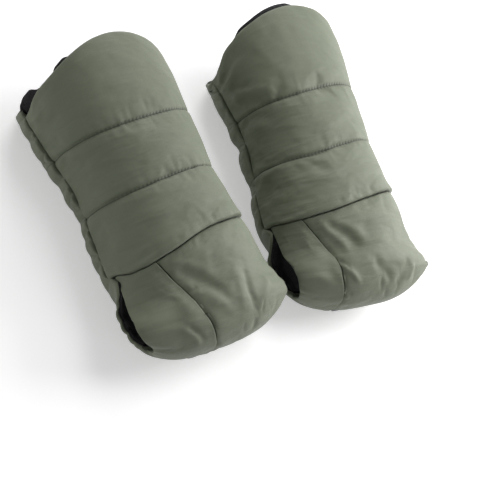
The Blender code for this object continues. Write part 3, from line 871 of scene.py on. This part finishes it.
def slit_distance(side, hand, path, upper):
    """Distance of a slit's edge from the seam line: a narrow gap that opens round the bar."""
    gap = float(curve_through(path, *(SLIT_ABOVE if upper else SLIT_BELOW[side]))) * MM
    edge = 0.0 if path > BAR else sewn(side, path, 0.0 if hand > 0 else math.pi, upper)[1]
    return (gap**6 + max(0.0, PASSAGE**2 - edge**2) ** 3) ** (1 / 6)


def slit_angle(side, hand, path, upper=True, more=0.0):
    angle = edge_angle(side, path, slit_distance(side, hand, path, upper) + more, upper)
    return angle if hand > 0 else math.pi - angle


def flare_out(panel, hands=(1, -1)):
    """Turns the cloth outwards round the bar's openings, as it lies on the handle there."""
    for hand in hands:
        near = fading(panel.from_first if hand > 0 else panel.from_last, FLARE_REACH) ** 1.4
        flare = (FLARE_PATHS, HOOD_FLARE[panel.side, hand]) if panel.upper else BACK_FLARE
        panel.points[..., 0] += hand * curve_through(panel.path, *flare) * MM * near
        if not panel.upper:
            panel.points[..., 2] += curve_through(panel.path, *EDGE_RISE) * MM * near
    panel.normals = panel.facing_out()


print("slit over the bar:", round(slit_distance("left", -1, BAR, True) * 1000, 1), "mm from the seam line")

# %% Gathered back
STRIP_PATHS = (0, 0.020, 0.045, 0.062, 0.075, 0.087, 0.097, 0.108, 0.124, 0.140, 0.152, 0.172, 0.197, 0.230)
STRIP = {
    "left": (-2, 0, 1, 1.5, 1, -1.5, 1.5, 2, -3, 0, 1, -1, -4, -1),
    "right": (-3, -2, 0, 1, 2, -3, 1.5, 4, 0, -6, -3, -2, -3, 0),
}
FLAP_CLOTH, SLIT_EDGE = 1.6 * MM, 3.2 * MM
BACK_CUFF_REACH, SLIT_REACH = 40, 12
TUCK_DEPTH, TUCK_SPACING, TUCK_REACH = 5.5 * MM, 12.0 * MM, 20 * MM
CUFF_TURNS = (0, 20, 50, 75, 110, 180)
CUFF_LOWER = {"left": (2, 1, 0, 0, 0, 0), "right": (8, 12, 17, 16, 5, 0)}


def make_back(side):
    seed = 83 if side == "left" else 131
    paths = joined_paths((0, FIRST, SECOND, HEM, BAR, STEP, FLAP), (44, 44, 42, 30, 18, 12))
    behind = 7 * MM * np.clip((paths - STEP) / (4 * MM), 0, 1)
    ends = (
        [slit_angle(side, hand, path, False, more) for path, more in zip(paths, behind)] for hand in (1, -1)
    )
    panel = Panel(side, paths, *ends, edged(96, 215), upper=False)
    turned = np.degrees(np.arccos(np.clip(-np.cos(panel.angle), -1, 1)))
    near_cuff = fading(panel.path, BACK_CUFF_REACH)
    panel.points[..., 1] -= curve_through(turned, CUFF_TURNS, CUFF_LOWER[side]) * MM * near_cuff
    flare_out(panel)
    tube = fading(panel.path - HEM, 20)
    at_side = np.maximum(0, 1 - np.abs(np.sin(panel.angle)) / math.sin(math.radians(60)))
    lift = 0.6 * channel_crown(panel) * at_side * tube
    lift += curve_through(panel.path, STRIP_PATHS, STRIP[side]) * MM * at_side
    for hand, distance in ((1, panel.from_first), (-1, panel.from_last)):
        tucks = gathers(distance, panel.path, seed + hand, TUCK_DEPTH, TUCK_SPACING, TUCK_REACH)
        lift += tucks * (0.5 + 0.5 * tube) * smooth(panel.points[..., 2] / (12 * MM))
    late = smooth((panel.path - STEP) / (5 * MM))
    lift = lift * (1 - late) - FLAP_DEPTH * late
    slit = smooth((panel.path - HEM) / (10 * MM)) * fading(panel.from_side, SLIT_REACH)
    depth = cuff_taper(panel) * (1 - slit) + SLIT_EDGE * slit
    depth = depth * (1 - late) + (FLAP_DEPTH + FLAP_CLOTH) * late
    edge = panel.edge_distance()
    drop = rolled(edge, 2.2 * MM) * (1 - late) + rolled(edge, 0.7 * MM) * late
    outer = offset(panel, lift - drop, 0.0)
    inner = offset(panel, -np.maximum(depth, drop - lift + LEAST_DEPTH), INNER_FLOOR)
    piece = solid_between(f"{side}_gathered_back", outer, inner, panel.cloth, side)
    finish_piece(piece, "root", shell, f"{side}_back_shell", f"{side}_back_wadding", fill=0.5)


for side in SIDES:
    make_back(side)

# %% [markdown]
# ## The toe hood
#
# The hood is a main panel with one petal gusset at its left. The seam between them starts near the
# hem's end and curves in towards the middle of the toe. The tables give that seam as a share of the
# half width, measured on each muff. The cloth has some spare length there, so that it lies in folds.

# %% Hood seams
SEAM_PATHS = (0.197, 0.221, 0.242, 0.257, 0.272, 0.286, 0.300, 0.316, 0.331)
SEAM_SHARES = {
    "left": (0.715, 0.62, 0.50, 0.43, 0.36, 0.305, 0.245, 0.19, 0.21),
    "right": (0.81, 0.72, 0.63, 0.565, 0.56, 0.53, 0.50, 0.455, 0.45),
}
SEAM_TURN, LIP_SWELL, LIP_DEPTH, HOOD_SLIT_EDGE = 0.35 * MM / 0.08, 1.6 * MM, 1.7 * MM, 3.0 * MM


def seam_angle(side, path):
    """Section angle of the gusset's seam."""
    share = float(curve_through(path, SEAM_PATHS, SEAM_SHARES[side]))
    return math.pi - math.acos(share ** (1 / ROUNDNESS))


def hood_depth(panel, slit):
    """Full padding over the bar, thin at the lip, and tapered where a slit's edge is turned in."""
    late = smooth((panel.path - THIN + 3 * MM) / (6 * MM))
    depth = PADDING * (1 - late) + LIP_DEPTH * late
    return np.minimum(depth, PADDING + (HOOD_SLIT_EDGE - PADDING) * fading(slit, SLIT_REACH))


def hood_swell(panel, height):
    """The hood's crown: full at the hem's side, and gone where the studs sit."""
    along = (panel.path - HEM) / (turn_path(math.radians(-17)) - HEM)
    share = panel.from_first / (panel.from_first + panel.from_last)
    return height * smooth(along / 0.22) ** 0.6 * smooth((1 - along) / 0.5) * crown(share, 0.5)


print("left seam meets the hem at", round(math.degrees(seam_angle("left", HEM)), 1), "degrees")

# %% [markdown]
# The main panel and the gusset are made alike, so one function makes both. Each runs from a slit for
# the bar to the seam between the two. A short simulation swells it, as it does the front, and the
# measured folds lie on top. At the lip there is no wadding, so that the press studs can close.

# %% Hood panels
def hood_piece(side, word, hand, count, length, height, seed, looseness):
    """One panel of the hood. hand says where its slit is: 1 on the right side, -1 on the left."""
    main = word == "toe_panel"
    paths = joined_paths((HEM + 0.3 * MM, BAR, THIN, LIP), (30, 24, 20))
    slit_side = [slit_angle(side, hand, path) for path in paths]
    seam_side = [seam_angle(side, path) - hand * SEAM_TURN for path in paths]
    panel = Panel(side, paths, *(slit_side, seam_side)[::hand], edged(count, length))
    flare_out(panel, (hand,))
    slit, seam = (panel.from_first, panel.from_last)[::hand]
    swell = hood_swell(panel, height)
    start = panel.points + 0.25 * panel.normals * swell[..., None]
    swelled = settled(panel, start, panel.path > turn_path(math.radians(-14)), looseness)
    lift = puckers(seam, panel.path, seed, 0.8 * MM, 6 * MM, 8 * MM) * (panel.path < turn_path(0))
    lift += 0.2 * MM * noise_sheet(panel.arc, panel.path, (12 * MM, 9 * MM), seed + 3)
    lift += fold_relief(panel, word) * smooth(np.minimum(panel.from_start, panel.from_end) / (6 * MM))
    lift += LIP_SWELL * np.exp(-(((panel.path - LIP + 22 * MM) / (13 * MM)) ** 2))
    lift += (-1.2 * MM if main else 0.5 * MM) * np.exp(-((seam / (3.5 * MM)) ** 2))
    roll = 1.4 * MM if main else 0.9 * MM
    piece = padded_form(f"{side}_{word}_cloth", panel, lift, hood_depth(panel, slit), roll, swelled)
    nodes = [f"{side}_{word}"] + ([f"{side}_hood_wadding"] if main else [])
    finish_piece(piece, f"{side}_hood", shell, *nodes, fill=0.6)


for side in SIDES:
    more = len(side)
    hood_piece(side, "toe_panel", 1, count=96, length=170, height=6 * MM, seed=211 + more, looseness=0.012)
    hood_piece(side, "toe_gusset", -1, count=40, length=60, height=5 * MM, seed=307 + more, looseness=0.006)

# %% [markdown]
# ## The fleece inside
#
# Black pile fleece lines the tube that the hand goes into, and the toe above and below the bar. At
# the cuff it stands a little proud of the shell, which is the black edge that the photograph shows. Loose
# hairs would be lost in the black, so each lining is a thick sheet with a tufted face, and the table says
# how far it stands out at each place round the cuff.

# %% Fleece tube
PROUD = {
    "left": ((-9, 0, 9, 20, 32, 38, 48, 60, 70, 84, 300), (-5, 5, 8, 8, 1, -3, -3, 2.2, 2.4, -3, -3)),
    "right": (
        (-120, -85, -20, 0, 24, 32, 38, 46, 62, 130, 155, 300),
        (-3, -20, -20, -13, -4, 1, 0, 0, 3.5, 3.5, -3, -3),
    ),
}
CUFF_LIP, CUFF_TOP, CUFF_BOTTOM = 3.4 * MM, 2.6 * MM, 5.4 * MM


def lining_faces(panel, outer, inner):
    """Both faces of a lining at these heights, kept clear of the floor."""
    return offset(panel, outer, 2.0 * MM), offset(panel, inner, 3.5 * MM)


def make_tube(side):
    """The fleece tube: a closed ring, sewn to the shell's edge at the cuff."""
    seed = 401 if side == "left" else 443
    lip = [-CUFF_LIP, -3.2 * MM, -2.6 * MM, -1.4 * MM]
    paths = np.concatenate([lip, joined_paths((0, 24 * MM, HEM), (12, 34))])
    grids = []
    for upper, count in ((True, 90), (False, 70)):
        low = [edge_angle(side, max(path, 0), 0.05 * MM, upper) for path in paths]
        panel = Panel(side, paths, low, [math.pi - angle for angle in low], np.linspace(0, 1, count), upper)
        from_seam = panel.from_last * (1 if upper else -1)
        reach = curve_through(from_seam / MM, *PROUD[side], level=True) * MM
        push = smooth(1 - (panel.path + CUFF_LIP) / (18 * MM)) * (reach - CUFF_LIP)
        tuft = 0.35 * MM * noise_sheet(panel.arc, panel.path, 2.4 * MM, seed)
        open_out = smooth((panel.path + 2 * MM) / (14 * MM))
        rounding = rolled(np.maximum(panel.path + CUFF_LIP, 0), 1.4 * MM)
        top = CUFF_TOP + (LINING_TOP - CUFF_TOP) * open_out + rounding
        bottom = CUFF_BOTTOM + (LINING_BOTTOM - CUFF_BOTTOM) * open_out - rounding
        outer, inner = lining_faces(panel, tuft - top, -bottom - tuft)
        outer[..., 1] += push
        inner[..., 1] += push
        grids.append([grid[:, :: 1 if upper else -1] for grid in (outer, inner, panel.cloth)])
    outer, inner, cloth = (np.concatenate(pair, axis=1) for pair in zip(*grids))
    piece = solid_between(f"{side}_fleece_tube", outer, inner, cloth, side, ring=True)
    finish_piece(piece, "root", fleece, f"{side}_fleece_lining", slot="fleece")


print("the tube stands out by up to", {side: max(PROUD[side][1]) for side in SIDES}, "mm")

# %% Fleece linings
def make_toe_lining(side, upper):
    """Lining of the hood (upper) or of the toe's floor, from the hem to where the padding ends."""
    paths = joined_paths((HEM + 0.4 * MM, BAR, (THIN if upper else STEP) - MM), (22, 18))
    ends = ([slit_angle(side, hand, path, upper, 0.5 * MM) for path in paths] for hand in (1, -1))
    panel = Panel(side, paths, *ends, edged(70, 190), upper)
    flare_out(panel)
    taper = (LINING_TOP - 3.7 * MM) * fading(panel.from_side, SLIT_REACH)
    tuft = 0.3 * MM * noise_sheet(panel.arc, panel.path, 2.4 * MM, 461 + upper)
    outer, inner = lining_faces(panel, taper - LINING_TOP, -(LINING_BOTTOM - taper + tuft))
    if upper:
        word, body, under, flat = "hood_lining", f"{side}_hood", "toe_panel", (0.20, 0.095)
    else:
        word, body, under, flat = "toe_lining", "root", "gathered_back", (0.16, 0.092)
    piece = solid_between(f"{side}_{word}_fleece", outer, inner, panel.cloth, side)
    finish_piece(piece, body, fleece, f"{side}_{word}", slot="fleece")


for side in SIDES:
    make_tube(side)
    make_toe_lining(side, upper=True)
    make_toe_lining(side, upper=False)

# %% [markdown]
# ## Press studs and thread
#
# Two press studs under the toe close the hood round the bar. Real ones are stamped and rolled from
# sheet metal, so every part of them is round. A screw modifier could spin their profiles, but a few
# lines of code give closed pieces with clean points, and set each one square on the cloth.

# %% Press studs
def turned(name, profile, seat):
    """Spins a profile of (radius, depth) points in mm into a closed piece."""
    steps = 48
    angle = np.arange(steps) * math.tau / steps
    rings = [np.stack([r * np.cos(angle), r * np.sin(angle), -d + 0 * angle], -1) for r, d in profile]
    points = np.concatenate(rings) * MM
    loops = range(len(profile) if profile[0][0] > 0 else len(profile) - 1)
    faces = []
    for ring in loops:
        a, b = ring * steps, (ring + 1) % len(profile) * steps
        faces += [(a + k, b + k, b + (k + 1) % steps, a + (k + 1) % steps) for k in range(steps)]
    piece = new_object(name, points, faces)
    data = piece.data
    tidy = bmesh.new()
    tidy.from_mesh(data)
    bmesh.ops.remove_doubles(tidy, verts=tidy.verts, dist=1e-5)
    bmesh.ops.recalc_face_normals(tidy, faces=tidy.faces)
    tidy.to_mesh(data)
    tidy.free()
    data.transform(seat)
    data.shade_smooth()
    data.set_sharp_from_angle(angle=math.radians(40))
    return piece


def stud_seat(side, hand):
    """Frame of one stud: its origin on the lip, its Z straight out of it."""
    angle = math.acos((STUD_OFFSET / TOE_HALF_WIDTH) ** (1 / ROUNDNESS))
    angle = angle if hand > 0 else math.pi - angle
    path, step = turn_path(STUD_ANGLE), 1e-4
    point = sewn(side, path, angle)
    out = np.cross(sewn(side, path, angle + step) - point, sewn(side, path + step, angle) - point)
    out = Vector(out if out[1] < 0 else -out)
    turn = out.to_track_quat("Z", "Y").to_matrix().to_4x4()
    return place_of(side) @ Matrix.Translation(Vector(point)) @ turn


PROFILES = {
    "cap": ((0, -1.1), (1.6, -1.07), (3.2, -0.98), (4.4, -0.84), (5.1, -0.7), (5.6, -0.55), (5.9, -0.38),
            (6.0, -0.2), (5.9, -0.05), (5.4, 0), (1.5, 0), (1.5, 3.2), (0, 3.2)),
    "socket": ((1.9, 2.35), (4.9, 2.35), (5.2, 2.6), (5.2, 4.6), (4.9, 4.9), (4.1, 4.9), (3.8, 4.6),
               (3.8, 3.4), (1.9, 3.4)),
    "stud": ((0, 4.2), (1.4, 4.2), (1.8, 4.5), (1.6, 5.0), (1.6, 5.6), (4.9, 5.6), (5.2, 5.8), (5.2, 6.3),
             (4.9, 6.5), (0, 6.5)),
    "post": ((0, 6.8), (1.5, 6.8), (1.5, 9.1), (4.9, 9.1), (5.2, 9.4), (5.0, 9.9), (3.5, 10.1), (0, 10.1)),
}

for side in SIDES:
    for hand, word in ((-1, "left"), (1, "right")):
        seat = stud_seat(side, hand)
        for kind, profile in PROFILES.items():
            name = f"{side}_snap_{kind}_{word}"
            body = f"{side}_hood" if kind in ("cap", "socket") else "root"
            finish_piece(turned(f"{name}_form", profile, seat), body, metal, name, slot="snap_metal")

# %% [markdown]
# The thread shows as a row of short stitches in each sewn line. A long bevelled curve would lie on the
# cloth like a wire. So every stitch is a small spindle of its own, which dips into the cloth at both
# ends and follows the puckers between them.

# %% Stitches
THREAD_RADIUS, STITCH_LENGTH, SPOKES = 0.32 * MM, 3.4 * MM, 6


def stitch_row(name, line, normals, side):
    """Short stitches along a line of points that lies in the cloth's surface."""
    steps = np.linalg.norm(np.diff(line, axis=0), axis=1)
    run = np.concatenate([[0], np.cumsum(steps)])
    ends = np.array([0.0, 0.12, 0.5, 0.88, 1.0])
    sizes = np.array([0.1, 0.8, 1.0, 0.8, 0.1]) * THREAD_RADIUS
    sunk = np.array([-0.35, -0.05, 0.12, -0.05, -0.35]) * MM
    points, faces = [], []
    turns = np.arange(SPOKES) * math.tau / SPOKES
    for start in np.arange(2 * MM, run[-1] - 4 * MM, NEEDLE_PITCH):
        spots = start + ends * STITCH_LENGTH
        middle, out = (
            np.stack([np.interp(spots, run, row[:, k]) for k in range(3)], -1) for row in (line, normals)
        )
        across = np.cross(middle[-1] - middle[0], out)
        across /= np.linalg.norm(across, axis=1, keepdims=True)
        base = len(points) * SPOKES
        for k in range(len(ends)):
            round_it = np.cos(turns)[:, None] * across[k] + np.sin(turns)[:, None] * out[k]
            points.append(middle[k] + out[k] * sunk[k] + sizes[k] * round_it)
        for k in range(len(ends) - 1):
            a, b = base + k * SPOKES, base + (k + 1) * SPOKES
            faces += [(a + t, a + (t + 1) % SPOKES, b + (t + 1) % SPOKES, b + t) for t in range(SPOKES)]
    piece = new_object(name, np.concatenate(points), faces)
    piece.data.transform(place_of(side))
    piece.data.shade_smooth()
    return piece


for side, panel in fronts.items():
    for line, word in ((FIRST, "first"), (SECOND, "second")):
        row = int(np.argmin(np.abs(panel.path[:, 0] - line)))
        rows = stitch_row(f"{side}_{word}_stitches", panel.outer[row], panel.normals[row], side)
        finish_piece(rows, "root", thread)

# %% [markdown]
# ## Light, floor and camera
#
# The camera is the one that was fitted to the photograph: a long lens, rolled by about half a right
# angle, which is why the muffs stand askew in the picture although they lie flat on the floor here.

# %% Camera
AZIMUTH, ELEVATION, ROLL = math.radians(-70.700), math.radians(45.495), math.radians(50.276)
DISTANCE, TARGET = 1.6131, Vector((-0.028006, 0.042058 + BAR_Y, 0.050))
FOCAL_PIXELS, FRAME_PIXELS = 1590.83, 500

flat = math.cos(ELEVATION)
back = Vector((math.sin(AZIMUTH) * flat, -math.cos(AZIMUTH) * flat, math.sin(ELEVATION)))
level = (-back).cross(Vector((0, 0, 1))).normalized()
climb = level.cross(-back)
right = level * math.cos(ROLL) + climb * math.sin(ROLL)
up = climb * math.cos(ROLL) - level * math.sin(ROLL)
camera = bpy.data.objects.new("camera", bpy.data.cameras.new("camera"))
camera.data.sensor_width = 36
camera.data.lens = FOCAL_PIXELS / FRAME_PIXELS * camera.data.sensor_width
axes = Matrix((right, up, back)).transposed().to_4x4()
camera.matrix_world = Matrix.Translation(TARGET + back * DISTANCE) @ axes
bpy.context.scene.collection.objects.link(camera)
bpy.context.scene.camera = camera
print("lens", round(camera.data.lens, 1), "mm at", [round(c, 3) for c in camera.location])

# %% [markdown]
# The photograph is cut out on white and lit softly, mostly from behind the muffs. Large square lamps
# give such light without hard shadows. The floor could be lit until it is white, but that would pale
# the cloth too, so it glows a little, and only as the camera and mirroring pieces see it.

# %% Floor and lamps
FLOOR_GLOW = 0.42


def make_floor():
    floor = new_object("floor", [(-6, -6, 0), (6, -6, 0), (6, 6, 0), (-6, 6, 0)], [(0, 1, 2, 3)])
    floor.location.z = -0.0002
    material = bpy.data.materials.new("pale floor")
    material.use_nodes = True
    tree = material.node_tree
    shader = tree.nodes["Principled BSDF"]
    shader.inputs["Base Color"].default_value = (0.86, 0.86, 0.86, 1)
    shader.inputs["Roughness"].default_value = 0.9
    seen = add(tree, "LightPath").outputs
    mirrored = maths(tree, "MAXIMUM", seen["Is Glossy Ray"], seen["Is Transmission Ray"])
    shown = maths(tree, "MAXIMUM", seen["Is Camera Ray"], mirrored)
    glow = add(tree, "Emission", {"Strength": maths(tree, "MULTIPLY", shown, FLOOR_GLOW)})
    both = add(tree, "AddShader", {0: shader.outputs[0], 1: glow.outputs[0]})
    tree.links.new(both.outputs[0], tree.nodes["Material Output"].inputs[0])
    floor.data.materials.append(material)


def make_lamp(name, place, size, watts):
    """A square area lamp that looks at the muffs."""
    lamp = bpy.data.objects.new(name, bpy.data.lights.new(name, "AREA"))
    lamp.data.size, lamp.data.energy, lamp.location = size, watts, place
    lamp.rotation_euler = (Vector((0, 0, 0.05)) - Vector(place)).to_track_quat("-Z", "Y").to_euler()
    bpy.context.scene.collection.objects.link(lamp)


make_floor()
for name, place, size, watts in (
    ("key", (0.95, -0.15, 0.5), 0.6, 11.5),
    ("far lamp", (0.7, 1.3, 0.7), 1.0, 16),
    ("top lamp", (0.5, 0.2, 1.4), 0.8, 5.5),
    ("front lamp", (0.75, -1.35, 0.2), 0.9, 5),
    ("left lamp", (-1.4, 0.2, 0.3), 0.5, 3),
):
    make_lamp(name, place, size, watts)
world = bpy.data.worlds.new("studio")
bpy.context.scene.world = world
world.use_nodes = True
sky = world.node_tree.nodes["Background"]
sky.inputs["Color"].default_value = (1, 1, 1, 1)
sky.inputs["Strength"].default_value = 0.2
bpy.context.scene.view_settings.view_transform = "Standard"
